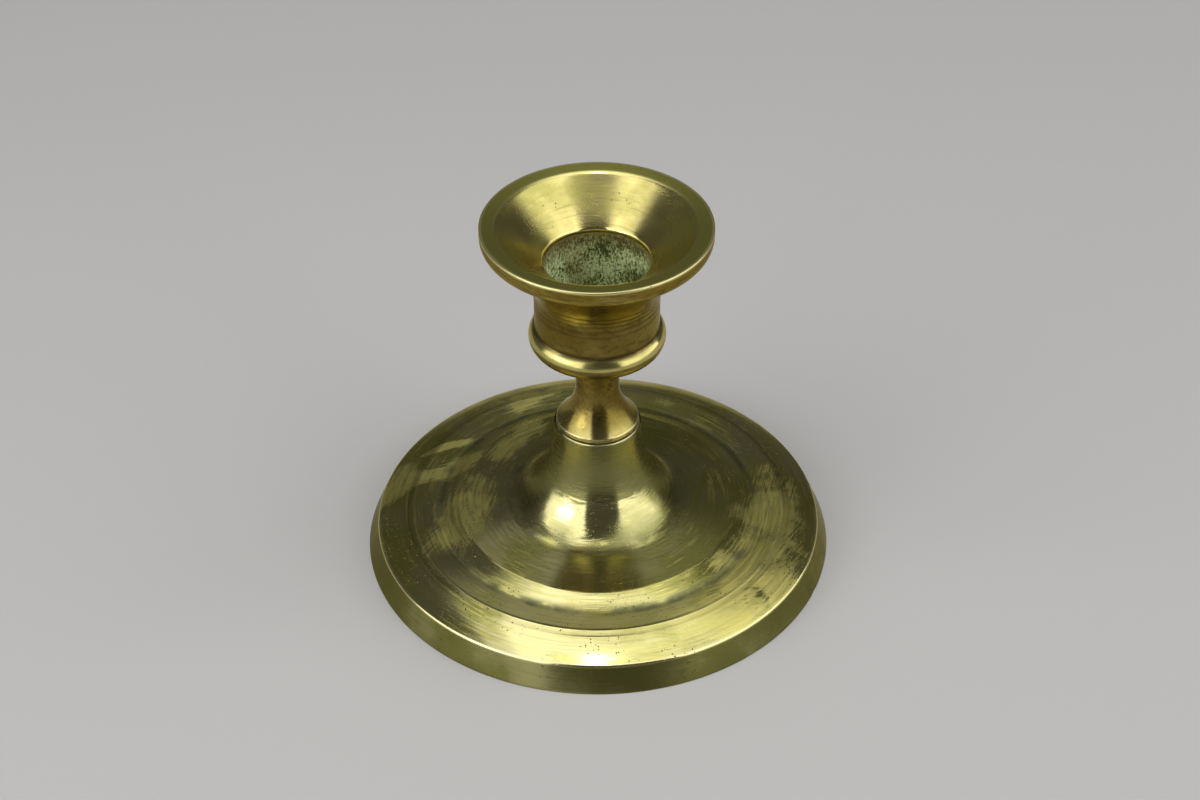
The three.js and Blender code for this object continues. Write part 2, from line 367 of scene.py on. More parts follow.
def turning_marks():
    """Lines left by the lathe: a noise that runs round the axis, because it reads the direction from
    the axis hardly at all, and the radius and the height finely."""
    tree, given, result = effect("turning_marks", {"Place": None, "Lines": 1500.0, "Sway": 2.0}, ["Height"])
    flat, radius = off_axis(tree, given["Place"])
    heading = add(tree, "ShaderNodeVectorMath", {0: flat}, operation="NORMALIZE").outputs[0]
    inputs = {0: heading, "Scale": given["Sway"]}
    heading = add(tree, "ShaderNodeVectorMath", inputs, operation="SCALE").outputs[0]
    up = add(tree, "ShaderNodeSeparateXYZ", {0: given["Place"]}).outputs["Z"]
    out_lines = add(tree, "ShaderNodeCombineXYZ", {"Z": times(tree, radius, given["Lines"])}).outputs[0]
    where = add(tree, "ShaderNodeVectorMath", {0: heading, 1: out_lines}, operation="ADD").outputs[0]
    up_lines = times(tree, up, given["Lines"])
    inputs = {"Vector": where, "W": up_lines, "Scale": 1.0, "Detail": 2.0, "Roughness": 0.6}
    lines = add(tree, "ShaderNodeTexNoise", inputs, noise_dimensions="4D").outputs[0]
    tree.links.new(lines, result["Height"])
    return tree


def rub_marks():
    """Hairlines left by polishing, in clusters: the places where a noise drawn out along the rubbing
    passes its middle value."""
    inputs = {"Place": None, "Turn": 0.0, "Fineness": 1200.0, "Cover": 0.5}
    tree, given, result = effect("rub_marks", inputs, ["Mask"])
    strands = noise(tree, drawn_out(tree, given["Place"], given["Turn"], 0.03), given["Fineness"], 1.0)
    off_middle = reckon(tree, "ABSOLUTE", reckon(tree, "SUBTRACT", strands, 0.5))
    hairs = ease(tree, off_middle, 0.0, 0.035, 1.0, 0.0)
    clusters = covered(tree, noise(tree, given["Place"], 90.0), given["Cover"], -0.05, 0.1)
    tree.links.new(times(tree, hairs, clusters), result["Mask"])
    return tree


def pits():
    """Small casting holes: the middles of random cells, each of its own size, in loose clusters."""
    tree, given, result = effect("pits", {"Place": None, "Fineness": 1500.0, "Cover": 0.4}, ["Mask"])
    cells = add(tree, "ShaderNodeTexVoronoi", {"Vector": given["Place"], "Scale": given["Fineness"]})
    size = add(tree, "ShaderNodeSeparateColor", {0: cells.outputs["Color"]}).outputs[0]
    size = ease(tree, size, 0.5, 1.0, 0.0, 0.36)
    hole = ease(tree, reckon(tree, "SUBTRACT", size, cells.outputs["Distance"]), 0.0, 0.12)
    clusters = covered(tree, noise(tree, given["Place"], 110.0), given["Cover"], 0.0, 0.08)
    tree.links.new(times(tree, hole, clusters), result["Mask"])
    return tree


def tarnish_clouds():
    """Broad clouds of tarnish, ragged at the edges where the turning marks hold it."""
    inputs = {"Place": None, "Marks": 0.5, "Breadth": 45.0, "Cover": 0.5, "Tear": 0.3}
    tree, given, result = effect("tarnish", inputs, ["Mask", "Cloud"])
    cloud = noise(tree, given["Place"], given["Breadth"], 4.0)
    torn = times(tree, reckon(tree, "SUBTRACT", given["Marks"], 0.5), given["Tear"])
    torn = reckon(tree, "ADD", cloud, torn)
    tree.links.new(covered(tree, torn, given["Cover"], -0.1, 0.1), result["Mask"])
    tree.links.new(cloud, result["Cloud"])
    return tree


def rubbing_strokes():
    """A rubbed patch with its edge torn along the way the cloth went, and fibres inside. The distance
    from the patch's middle wanders and gains a noise drawn out along the strokes; the mask fades as
    it passes the edge, over the blur to both sides."""
    edge = 0.8
    inputs = {"Place": None, "Turn": 0.0, "Distance": 1.0, "Wander": 0.5, "Blur": 0.35}
    tree, given, result = effect("strokes", inputs, ["Mask"])
    back = times(tree, given["Turn"], -1.0)
    strands = noise(tree, drawn_out(tree, given["Place"], back, 0.06), 2400.0, 3.0)
    torn = reckon(tree, "SUBTRACT", strands, 0.5)
    wander = reckon(tree, "SUBTRACT", given["Wander"], 0.5)
    distance = add_up(tree, given["Distance"], [(torn, 1.6), (wander, 2.2)])
    fibres = ease(tree, torn, -0.16, 0.04, 0.7, 1.0)
    inner = reckon(tree, "SUBTRACT", edge, given["Blur"])
    outer = reckon(tree, "ADD", edge, given["Blur"])
    patch = ease(tree, distance, inner, outer, 1.0, 0.0)
    tree.links.new(times(tree, patch, fibres), result["Mask"])
    return tree


marks_group = turning_marks()
rub_group = rub_marks()
pit_group = pits()
tarnish_group = tarnish_clouds()
stroke_group = rubbing_strokes()


def attribute(tree, name):
    """One of the values kept on the piece's mesh."""
    return add(tree, "ShaderNodeAttribute", attribute_name=name).outputs["Fac"]


def new_material(piece, name):
    """A material on the piece: its node tree, its shader's inputs and the place on the object."""
    material = bpy.data.materials.new(name)
    material.use_nodes = True
    piece.data.materials.clear()
    piece.data.materials.append(material)
    tree = material.node_tree
    shader = next(node for node in tree.nodes if node.type == "BSDF_PRINCIPLED").inputs
    return tree, shader, tree.nodes.new("ShaderNodeTexCoord").outputs["Object"]


def turned_sheen(tree, shader):
    """Spreads reflections across the turning marks, which run round the axis, and lets the metal pale
    where it is seen from the side."""
    round_axis = add(tree, "ShaderNodeTangent", direction_type="RADIAL", axis="Z").outputs[0]
    tree.links.new(round_axis, shader["Tangent"])
    shader["Anisotropic"].default_value = 0.3
    shader["Anisotropic Rotation"].default_value = 0.25
    shader["Specular Tint"].default_value = brass_edge


def raised(tree, shader, relief, depth=1.0):
    """Raises the surface by a relief times a depth in metres."""
    bump = add(tree, "ShaderNodeBump", {"Strength": 1.0, "Distance": depth, "Height": relief})
    tree.links.new(bump.outputs[0], shader["Normal"])


foot_brass = (0.63, 0.58, 0.27, 1)
worn_brass = (0.80, 0.73, 0.38, 1)
brass_edge = (0.85, 0.78, 0.55, 1)
olive_tarnish = (0.31, 0.305, 0.062, 1)
scuffed_brass = (0.72, 0.65, 0.19, 1)
# Grey for grime and for painted shade in the foot's corners and steps.
grey_grime_and_crease_shade = (0.19, 0.19, 0.085, 1)
line_brown = (0.22, 0.17, 0.05, 1)
# A dark brown for pits, dents and tool lines, and for painted shade in the cup's creases.
pit_and_crease_shade_brown = (0.055, 0.04, 0.013, 1)
cast_brass = (0.33, 0.26, 0.10, 1)
# Dark for the wall's tarnish, and for a painted dark reflection on the cone's top and flanks.
tarnish_and_dark_reflection = (0.125, 0.118, 0.033, 1)

# Each patch is an ellipse: its middle's X and Y, its half length and its half width, in millimetres.
# The scuffed patches are listed by the direction of their strokes, in degrees.
polished_patches = [(0, -43.5, 26, 5.5), (0, -38, 17, 3), (0, -32, 20, 4), (0, -25, 12, 4), (0, -10, 19, 12)]
scuffed_patches = {
    26: [(-33, 12, 10, 3.5), (-33.5, 20, 8, 1.1), (-16, 38, 12, 4), (29, -35, 17, 8.5), (33, -25, 10, 6)],
    58: [(-33, -11, 7, 4), (-44.5, 8.5, 8, 4), (-19, 20, 12, 4), (34, -17, 15, 6.5), (39, -27, 12, 6.5)],
    76: [(-29, -4.5, 13, 6.5), (37, -4, 15, 6)],
}
polish_blur = 0.8
scuff_blur = 0.35
farthest_kept = 3
wall_fade = 0.4 * mm
wear_start = 0.5 * mm
wear_full = 2 * mm
cone_dark_top_start = 18.5 * mm
cone_dark_top_fade = 0.6 * mm
flank_start = -8 * mm
flank_fade = 2 * mm
cone_foot = 16 * mm
bowl_start = 20 * mm
raggedness = 6 * mm
satin_start = inner_foot[0] - 0.7 * mm
satin_full = inner_foot[0] + 0.4 * mm
satin_end = outer_ring[0] - 0.8 * mm
satin_front = -34 * mm
satin_back = -16 * mm
pits_few = 14 * mm
pits_many = 24 * mm
comb_start = 18 * mm
coarse_comb = 0.05 * mm
fine_comb = 0.007 * mm


def rub_patches(piece, turn, patches):
    """Keeps on each vertex the distance from the nearest patch's middle, 1 at the edge of its ellipse:
    the way along the strokes over the half length and the way across over the half width, squared,
    added and rooted."""
    places = np.empty(3 * len(piece.data.vertices))
    piece.data.vertices.foreach_get("co", places)
    x, y, length, width = (mm * np.array(patches)).T
    from_x = places[0::3, None] - x
    from_y = places[1::3, None] - y
    along = from_x * math.cos(turn) + from_y * math.sin(turn)
    across = from_y * math.cos(turn) - from_x * math.sin(turn)
    distance = np.hypot(along / length, across / width).min(axis=1)
    distance = np.minimum(distance, farthest_kept)
    label = "rubbed_%d" % round(math.degrees(turn))
    piece.data.attributes.new(label, "FLOAT", "POINT").data.foreach_set("value", distance)
    return label


tree, shader, place = new_material(foot, "foot_brass")
axes = add(tree, "ShaderNodeSeparateXYZ", {0: place}).outputs
up = axes["Z"]
out = off_axis(tree, place)[1]
wander = noise(tree, place, 130.0, 3.0)
marks = use(tree, marks_group, Place=place, Lines=2400.0, Sway=1.5)["Height"]
arcs = use(tree, marks_group, Place=place, Lines=1700.0, Sway=3.5)["Height"]
rub = use(tree, rub_group, Place=place, Turn=math.radians(-70), Cover=0.44)["Mask"]
pitted = use(tree, pit_group, Place=place, Fineness=1900.0, Cover=0.53)["Mask"]
pitted = times(tree, pitted, ease(tree, out, pits_few, pits_many, 0.2, 1.0))
tarnish = use(tree, tarnish_group, Place=place, Marks=arcs, Cover=0.53, Tear=0.4)
neglect = ease(tree, attribute(tree, "finish"), 0.05, seldom_polished)
inside = ease(tree, attribute(tree, "finish"), 0.5, never_polished)
hollow = ease(tree, attribute(tree, "hollow"), 0.03, 0.32)
dent = attribute(tree, "dent")
worn = times(tree, ease(tree, attribute(tree, "worn"), 0.1, 0.7), ease(tree, up, wear_start, wear_full))
satin = times(
    tree,
    ease(tree, out, satin_start, satin_full),
    ease(tree, out, satin_end, outer_ring[0], 1.0, 0.0),
    ease(tree, axes["Y"], satin_front, satin_back, 1.0, 0.0))

# Where the foot has been cleaned: patches rubbed by hand, and ridges that stand up between the marks.
above_wall = ease(tree, up, wall_height - wall_fade, wall_height)


def rubbed(degrees, patches, blur):
    """A mask of the foot's patches with strokes in one direction."""
    turn = math.radians(degrees)
    distance = attribute(tree, rub_patches(foot, turn, patches))
    strokes = use(tree, stroke_group, Place=place, Turn=turn, Distance=distance, Wander=wander, Blur=blur)
    return times(tree, strokes["Mask"], above_wall)


polished = rubbed(0, polished_patches, polish_blur)
brushed = most(tree, *[rubbed(degrees, patches, scuff_blur) for degrees, patches in scuffed_patches.items()])
brushed = times(tree, brushed, but_not(tree, polished), ease(tree, arcs, 0.4, 0.54, 0.72, 1.0))
ridges = times(
    tree,
    ease(tree, arcs, 0.52, 0.6),
    ease(tree, wander, 0.44, 0.58, 0.1, 0.6),
    but_not(tree, neglect),
    but_not(tree, polished))
scuffed = most(tree, ridges, brushed)
cleaned = most(tree, scuffed, polished)

# Where it has not: clouds of tarnish and the wall; grime and painted shade in the corners; and on the cone's
# top and flanks, tarnish with a painted dark reflection.
dull = times(tree, tarnish["Mask"], add_up(tree, 0.9, [(cleaned, -0.65)]))
# Grime that settles in the hollows and steps, with painted shade darkening the same creases.
grime_and_crease_shade = times(tree, hollow, ease(tree, noise(tree, place, 160.0, 4.0), 0.35, 0.62))
stained = times(
    tree, neglect, ease(tree, tarnish["Cloud"], 0.3, 0.6, 0.6, 1.0), add_up(tree, 1.0, [(cleaned, -0.9)]))
# The cone's top and its flanks, all but its front: tarnish, darkened further by a painted dark reflection.
ragged_top = cone_dark_top_start + raggedness / 2
ragged_height = add_up(tree, up, [(arcs, raggedness)])
high = ease(tree, ragged_height, ragged_top - cone_dark_top_fade, ragged_top + cone_dark_top_fade)
ragged_flank = flank_start + raggedness / 2
behind = add_up(tree, axes["Y"], [(wander, raggedness)])
behind = ease(tree, behind, ragged_flank - flank_fade, ragged_flank + flank_fade)
flank = times(tree, behind, ease(tree, out, cone_foot, bowl_start, 1.0, 0.0))
cone_painted_dark_reflection = times(tree, most(tree, high, flank), 0.8)
# From here the stain also holds the painted dark reflection on the cone.
stained = most(tree, stained, cone_painted_dark_reflection)

lines = ease(tree, marks, 0.3, 0.46, 0.25, 0.0)
colour = coats(tree, foot_brass, [
    (dull, olive_tarnish),
    (scuffed, scuffed_brass),
    (lines, line_brown),
    # The wall's tarnish, and the painted dark reflection on the cone's top and flanks.
    (stained, tarnish_and_dark_reflection),
    # Grime and painted shade in the corners.
    (grime_and_crease_shade, grey_grime_and_crease_shade),
    (times(tree, worn, 0.7), worn_brass),
    (most(tree, pitted, times(tree, dent, 0.3)), pit_and_crease_shade_brown),
    (inside, cast_brass),
])
tree.links.new(colour, shader["Base Color"])
rough = add_up(tree, 0.13, [
    (dull, 0.06),
    (brushed, 0.25),
    (ridges, 0.08),
    (grime_and_crease_shade, 0.2),
    (satin, 0.34),
    (rub, 0.08),
    (stained, 0.12),
    (inside, 0.15),
])
tree.links.new(rough, shader["Roughness"])
tree.links.new(add_up(tree, 0.97, [(dull, -0.05)]), shader["Metallic"])
turned_sheen(tree, shader)
comb = ease(tree, out, comb_start, inner_ring[0], coarse_comb, fine_comb)
grain = times(tree, inside, noise(tree, place, 700.0, 3.0))
relief = add_up(tree, 0.0, [
    (marks, 0.006 * mm),
    (arcs, comb),
    (rub, -0.003 * mm),
    (pitted, -0.05 * mm),
    (grain, 0.15 * mm),
])
raised(tree, shader, relief)
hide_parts("foot")
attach(foot, "foot")

# The washer
# A flat brass ring under the screw's head, punched from sheet and left dull.
washer_low, washer_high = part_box("washer")
washer_radius = washer_high[0]
washer_edge_round = 0.15 * mm
washer_rim_round = 0.3 * mm
washer_sides = 96
washer_spacing = 0.4 * mm
washer_outline = np.vstack([
    corner(shank_hole_radius, washer_low[2], washer_edge_round),
    corner(washer_radius, washer_low[2], washer_rim_round),
    corner(washer_radius, washer_high[2], washer_edge_round),
    corner(shank_hole_radius, washer_high[2], washer_edge_round),
])
washer = turned("flat_washer", profile_from(washer_outline, washer_spacing, True), washer_sides)

dull_brass = (0.42, 0.34, 0.14, 1)
dark_brass = (0.20, 0.15, 0.055, 1)


def unpolished(piece, name, lines, breadth, smoothest, depth):
    """Brass as it came from the tool: marks of a depth, and clouds of a darker, rougher tarnish."""
    tree, shader, place = new_material(piece, name)
    marks = use(tree, marks_group, Place=place, Lines=lines)["Height"]
    tarnish = use(tree, tarnish_group, Place=place, Marks=marks, Breadth=breadth)
    tree.links.new(coats(tree, dull_brass, [(tarnish["Mask"], dark_brass)]), shader["Base Color"])
    tree.links.new(add_up(tree, smoothest, [(tarnish["Cloud"], 0.25)]), shader["Roughness"])
    shader["Metallic"].default_value = 1.0
    raised(tree, shader, marks, depth)


unpolished(washer, "washer_brass", lines=2500.0, breadth=300.0, smoothest=0.3, depth=0.03 * mm)
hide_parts("washer")
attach(washer, "foot")

# The joining screw
# A slotted cheese-head screw of turned brass with a right-hand M6 thread, put in from underneath
# through the washer and the foot's boss into the cup's threaded hole.
screw_low, screw_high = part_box("joining_screw")
head_radius = screw_high[0]
head_height = 3.6 * mm
head_round = 0.4 * mm
under_head = screw_low[2] + head_height
under_head_round = 0.12 * mm
screw_tip = screw_high[2]
screw_radius = 3 * mm
screw_sides = 96
thread_pitch = 1 * mm
thread_depth = 0.6 * mm
plain_shank = 8 * mm
thread_start = under_head + plain_shank
thread_rows = 14
tip_chamfer = 0.7 * mm
slot_width = 1.6 * mm
slot_depth = 1.8 * mm
slot_reach = 2 * head_radius
hair = 0.01 * mm


def thread_form(height, angle):
    """How far out the thread stands, from 0 at the root to 1 at the crest, at a height and an angle:
    the height less the angle's share of the pitch, through a root, a flank, a crest and a flank."""
    turns = (height - under_head) / thread_pitch - angle / (2 * np.pi)
    return np.interp(turns % 1, [0, 1 / 4, 9 / 16, 11 / 16, 1], [0, 0, 1, 1, 0])


def screw_thread(radius, height, angle):
    """Cuts the helical groove out of the plain rod above the shank, fading in over one pitch. The head
    and what lies inside the thread's root stay as they are."""
    cut = thread_depth * (1 - thread_form(height, angle))
    cut = cut * np.clip((height - thread_start) / thread_pitch, 0, 1)
    cut = np.where(radius > screw_radius + hair, 0, cut)
    return np.where(radius > screw_radius - thread_depth, radius - cut, radius), height, cut / thread_depth


screw_outline = np.vstack([
    corner(0, screw_low[2], 0),
    corner(head_radius, screw_low[2], head_round),
    corner(head_radius, under_head, under_head_round),
    corner(screw_radius, under_head, broken_edge),
    corner(screw_radius, screw_tip - tip_chamfer, broken_edge),
    corner(screw_radius - tip_chamfer, screw_tip, broken_edge),
    corner(0, screw_tip, 0),
])
screw_profile = profile_from(screw_outline, thread_pitch / thread_rows, False)
screw = turned("slotted_screw", screw_profile, screw_sides, screw_thread)

slot_box = np.array([(x, y, z) for x in (-1, 1) for y in (-1, 1) for z in (-1, 1)], float)
slot_box *= (slot_reach, slot_width / 2, slot_depth)
slot_box[:, 2] += screw_low[2]
slot_faces = [(0, 1, 3, 2), (4, 6, 7, 5), (0, 4, 5, 1), (2, 3, 7, 6), (0, 2, 6, 4), (1, 5, 7, 3)]
cutter_mesh = bpy.data.meshes.new("slot_cutter")
cutter_mesh.from_pydata(slot_box, [], slot_faces)
cutter = bpy.data.objects.new("slot_cutter", cutter_mesh)
bpy.context.scene.collection.objects.link(cutter)
saw = screw.modifiers.new("slot", "BOOLEAN")
saw.operation = "DIFFERENCE"
saw.object = cutter
slotted = bpy.data.meshes.new_from_object(screw.evaluated_get(bpy.context.evaluated_depsgraph_get()))
screw.modifiers.clear()
screw.data = slotted
bpy.data.objects.remove(cutter)

unpolished(screw, "screw_brass", lines=3000.0, breadth=260.0, smoothest=0.25, depth=0.02 * mm)
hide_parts("joining_screw")
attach(screw, "screw")

# The candle cup
# One brass casting, turned and polished outside: a spigot in the foot's recess, a knop, a neck, a bead
# and the socket with its flared rim. Old wax and verdigris coat the socket; the stem has a threaded hole.
spigot_radius = 5.2 * mm
spigot_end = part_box("candle_cup")[0][2]
spigot_round = 0.2 * mm
rim_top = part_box("candle_cup")[1][2]
rim_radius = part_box("candle_cup")[1][0]
hole_clearance = 0.25 * mm
hole_crest = screw_radius + hole_clearance
tip_clearance = 2 * mm
hole_end = screw_tip + tip_clearance
hole_chamfer = 0.5 * mm
seam_gap = 0.35 * mm
seam_depth = 0.75 * mm
knop_radius = 8.83 * mm
knop_band = 0.95 * mm
knop_foot = seat_height + seam_gap + knop_band
knop_height = 9.3 * mm
knop_edge_round = 0.12 * mm
knop_flare_angle = math.radians(50)
knop_flare_reach = 3.6 * mm
knop_throat = 3.4 * mm
knop_points = 40
neck_radius = 4.6 * mm
neck_length = 4.9 * mm
neck_foot = knop_foot + knop_height
neck_top = neck_foot + neck_length
neck_points = 24
cove_height = 4.7 * mm
bore_radius = 11 * mm
socket_wall = 2.1 * mm
socket_radius = bore_radius + socket_wall
bead_foot = neck_top + cove_height
bead_radius = 3.1 * mm
bead_projection = 1.3 * mm
bead_centre = (socket_radius + bead_projection - bead_radius, bead_foot + bead_radius)
bead_top_angle = math.acos((socket_radius - bead_centre[0]) / bead_radius)
bead_top = bead_centre[1] + bead_radius * math.sin(bead_top_angle)
bead_top_round = 0.2 * mm
bead_polish_start = 0.15
bead_polish_end = bead_top_angle - 0.1
bead_points = 16
socket_floor_thickness = 2.3 * mm
socket_floor = bead_foot + socket_floor_thickness
socket_floor_round = 0.6 * mm
socket_length = 6.2 * mm
flare_foot = bead_top + socket_length
flare_rise = 6.2 * mm
flare_height = 13.4 * mm
flare_top = flare_foot + flare_height
rim_under_width = 2.6 * mm
rim_under_height = 3.2 * mm
flare_end = (rim_radius - rim_under_width, flare_top)
flare_lead = 3.6 * mm
flare_points = 90
rim_wall_foot = flare_top + rim_under_height
rim_pull = (rim_radius - rim_under_width / 4, flare_top + rim_under_height / 4)
rim_aim = (rim_radius, rim_wall_foot - rim_under_height / 2)
rim_points = 16
rim_round = 0.3 * mm
rim_round_points = 8
rim_land = 3.3 * mm
rim_dish = 0.35 * mm
lip_radius = rim_radius - rim_land
lip_height = rim_top - rim_dish
lip_round = 0.6 * mm
funnel_depth = 8.1 * mm
bore_top = lip_height - funnel_depth
bore_top_round = 0.5 * mm
bare_bore = 1.2 * mm
coat_top = bore_top - bare_bore
coated = 1.0
cup_sides = 144
cup_spacing = 0.26 * mm

knop_flare_in = knop_flare_reach * math.sin(knop_flare_angle)
knop_flare_up = knop_flare_reach * math.cos(knop_flare_angle)
knop_pull = (knop_radius - knop_flare_in, knop_foot + knop_flare_up)
knop_aim = (neck_radius, neck_foot - knop_throat)
knop_edge_finish = 0.7 * seldom_polished
knop_finish = (0.4 * seldom_polished, 1.4 * seldom_polished)
# The rounding of the knop's lower edge takes the place of its sweep's first points.
knop_edge_points = 2
knop_sweep = sweep(
    (knop_radius, knop_foot), knop_pull, knop_aim, (neck_radius, neck_foot), knop_points, knop_finish)
neck_centre = (bead_centre[0], neck_top)
neck_spread = bead_centre[0] - neck_radius
neck_rise = bead_foot - neck_top
flare_pull = (socket_radius, flare_foot + flare_rise)
flare_aim = (flare_end[0] - flare_lead, flare_top - flare_lead)
rim_centre = (rim_radius - rim_round, rim_top - rim_round)

cup_outline = np.vstack([
    corner(0, hole_end, 0),
    corner(hole_crest, hole_end - hole_crest, broken_edge),
    corner(hole_crest, spigot_end + hole_chamfer, broken_edge),
    corner(hole_crest + hole_chamfer, spigot_end, broken_edge),
    corner(spigot_radius, spigot_end, spigot_round),
    corner(spigot_radius, seat_height, broken_edge),
    corner(knop_radius - seam_depth, seat_height, broken_edge),
    corner(knop_radius, seat_height + seam_gap, broken_edge, seldom_polished),
    corner(knop_radius, knop_foot, knop_edge_round, knop_edge_finish),
    knop_sweep[knop_edge_points:],
    arc(neck_centre, neck_spread, neck_rise, math.pi, math.pi / 2, neck_points, seldom_polished),
    arc(bead_centre, bead_radius, bead_radius, -math.pi / 2, 0, bead_points, seldom_polished),
    arc(bead_centre, bead_radius, bead_radius, bead_polish_start, bead_polish_end, bead_points),
    corner(socket_radius, bead_top, bead_top_round, seldom_polished),
    sweep((socket_radius, flare_foot), flare_pull, flare_aim, flare_end, flare_points, seldom_polished),
    sweep(flare_end, rim_pull, rim_aim, (rim_radius, rim_wall_foot), rim_points, seldom_polished),
    corner(rim_radius, rim_top - 2 * rim_round, 0, seldom_polished),
    arc(rim_centre, rim_round, rim_round, 0, math.pi / 2, rim_round_points),
    corner(lip_radius, lip_height, lip_round),
    corner(bore_radius, bore_top, bore_top_round),
    corner(bore_radius, coat_top, 0, coated),
    corner(bore_radius, socket_floor, socket_floor_round, coated),
    corner(0, socket_floor, 0, coated),
])

pit_angles = np.radians([-48, -55, -46, -60, -53])
pit_heights = np.array([43.4, 44.2, 45.0, 42.9, 45.6]) * mm
pit_widths = np.array([0.5, 0.55, 0.55, 0.4, 0.45]) * mm
pit_depth = 0.35 * mm
tool_line_heights = np.array([68.2, 67.0, 65.9, 64.6, 63.2]) * mm
tool_line_width = 0.2 * mm
tool_line_depth = 0.06 * mm
tool_line_steady = 0.75
tool_line_swing = 0.25
tool_line_slant = 40


def cup_marks(radius, height, angle):
    """The thread in the hole, cut outwards by the screw's own thread form; casting pits at the top of
    the neck, each a bell curve in distance cut from the radius; and lines left by the tool round the
    socket, each a bell curve in height, deeper on some sides than on others."""
    in_hole = radius < hole_crest + hair
    in_thread = in_hole & (height < hole_end - hole_crest)
    radius = np.where(in_thread, radius - thread_depth * (1 - thread_form(height, angle)), radius)
    around = (angle[..., None] - pit_angles + np.pi) % (2 * np.pi) - np.pi
    up = height[..., None] - pit_heights
    distance = np.hypot(around * radius[..., None], up) / pit_widths
    pit = ~in_hole * np.exp(-(distance ** 2)).max(axis=2)
    on_socket = (radius > socket_radius - hair) & (height < flare_top)
    line = np.exp(-(((height[..., None] - tool_line_heights) / tool_line_width) ** 2)).sum(axis=2)
    side = np.sin(2 * angle + tool_line_slant * height / flare_top)
    line = on_socket * line * (tool_line_steady + tool_line_swing * side)
    cut = pit_depth * pit + tool_line_depth * line
    return radius - cut, height, np.maximum(pit, line)


cup = turned("turned_cup", profile_from(cup_outline, cup_spacing, False), cup_sides, cup_marks)

cup_brass = (0.62, 0.53, 0.20, 1)
amber_tarnish = (0.215, 0.147, 0.018, 1)
deep_amber = (0.08, 0.05, 0.008, 1)
verdigris_dark = (0.05, 0.065, 0.02, 1)
verdigris = (0.40, 0.48, 0.20, 1)
wax_film = (0.82, 0.90, 0.55, 1)
film_stain = (0.26, 0.20, 0.06, 1)
soot = (0.025, 0.03, 0.015, 1)
scorch_brown = (0.15, 0.105, 0.03, 1)
rim_dull_start = lip_height - 0.2 * mm
rim_dull_full = lip_height + 0.1 * mm
deep_amber_end = flare_foot + 4 * mm
funnel_start = bore_top + 2 * mm
scorch_start = bore_top - 3 * mm
scorch_full = bore_top + 3.5 * mm

tree, shader, place = new_material(cup, "cup_brass")
up = add(tree, "ShaderNodeSeparateXYZ", {0: place}).outputs["Z"]
marks = use(tree, marks_group, Place=place, Lines=2000.0, Sway=1.5)["Height"]
arcs = use(tree, marks_group, Place=place, Lines=1300.0, Sway=7.0)["Height"]
rub = use(tree, rub_group, Place=place, Turn=math.radians(25), Cover=0.46)["Mask"]
pitted = use(tree, pit_group, Place=place, Fineness=1900.0, Cover=0.42)["Mask"]
tarnish = use(tree, tarnish_group, Place=place, Marks=arcs, Breadth=70.0, Cover=0.5, Tear=0.08)
neglect = ease(tree, attribute(tree, "finish"), 0.05, seldom_polished)
film = ease(tree, attribute(tree, "finish"), 0.5, coated)
worn = ease(tree, attribute(tree, "worn"), 0.1, 0.7)
hollow = ease(tree, attribute(tree, "hollow"), 0.35, 0.9)
dent = attribute(tree, "dent")
on_rim = ease(tree, up, rim_dull_start, rim_dull_full)
funnel_rough = ease(tree, up, bore_top, funnel_start, 0.0, 0.04)
# Grime in the cup's hollows, such as the crease above the bead, with painted shade darkening the same
# creases.
grime_and_crease_shade = times(tree, hollow, ease(tree, noise(tree, place, 200.0, 4.0), 0.3, 0.6, 0.3, 0.9))
dull = most(tree, times(tree, tarnish["Mask"], 0.65), times(tree, on_rim, 0.85))
stained = times(tree, neglect, ease(tree, tarnish["Cloud"], 0.3, 0.65, 0.6, 1.0))
deep = times(tree, stained, ease(tree, up, flare_foot, deep_amber_end, 0.6, 0.0))
lines = ease(tree, marks, 0.3, 0.46, 0.3, 0.0)
tool_lines = times(tree, neglect, ease(tree, arcs, 0.36, 0.5, 0.45, 0.0))
colour = coats(tree, cup_brass, [
    (dull, olive_tarnish),
    (stained, amber_tarnish),
    (deep, deep_amber),
    (lines, line_brown),
    # Grime and painted shade in the creases.
    (grime_and_crease_shade, pit_and_crease_shade_brown),
    (times(tree, worn, 0.55), worn_brass),
    (tool_lines, pit_and_crease_shade_brown),
    (most(tree, pitted, dent), pit_and_crease_shade_brown),
])

# The crust in the socket: streaks that run down and a mottle, in patches, scorched towards the top.
streaked = scaled(tree, place, (1, 1, 0.45))
streaks = noise(tree, streaked, 2500.0, 3.0)
inputs = {"Vector": place, "Scale": 1600.0, "Detail": 4.0, "Roughness": 0.65, "Distortion": 1.5}
mottle = add(tree, "ShaderNodeTexNoise", inputs).outputs[0]
patch = noise(tree, place, 150.0, 3.0)
specks = use(tree, pit_group, Place=place, Fineness=2400.0, Cover=0.62)["Mask"]
crust = add_up(tree, 0.0, [(mottle, 0.5), (streaks, 0.5), (reckon(tree, "SUBTRACT", patch, 0.5), 0.5)])
stain = ease(tree, noise(tree, streaked, 120.0, 3.0), 0.5, 0.66, 0.0, 0.35)
scorch = ease(tree, add_up(tree, up, [(patch, raggedness)]), scorch_start, scorch_full)
coat = coats(tree, verdigris_dark, [
    (ease(tree, crust, 0.42, 0.5), verdigris),
    (ease(tree, crust, 0.5, 0.58), wax_film),
    (stain, film_stain),
    (specks, soot),
    (scorch, scorch_brown),
])
tree.links.new(coats(tree, colour, [(film, coat)]), shader["Base Color"])
rough = reckon(tree, "ADD", funnel_rough, add_up(tree, 0.14, [(dull, 0.16)]))
rough = add_up(tree, rough, [(stained, 0.08), (grime_and_crease_shade, 0.25), (rub, 0.08), (film, 0.5)])
tree.links.new(rough, shader["Roughness"])
metal = times(tree, add_up(tree, 0.96, [(dull, -0.08)]), but_not(tree, film))
tree.links.new(metal, shader["Metallic"])
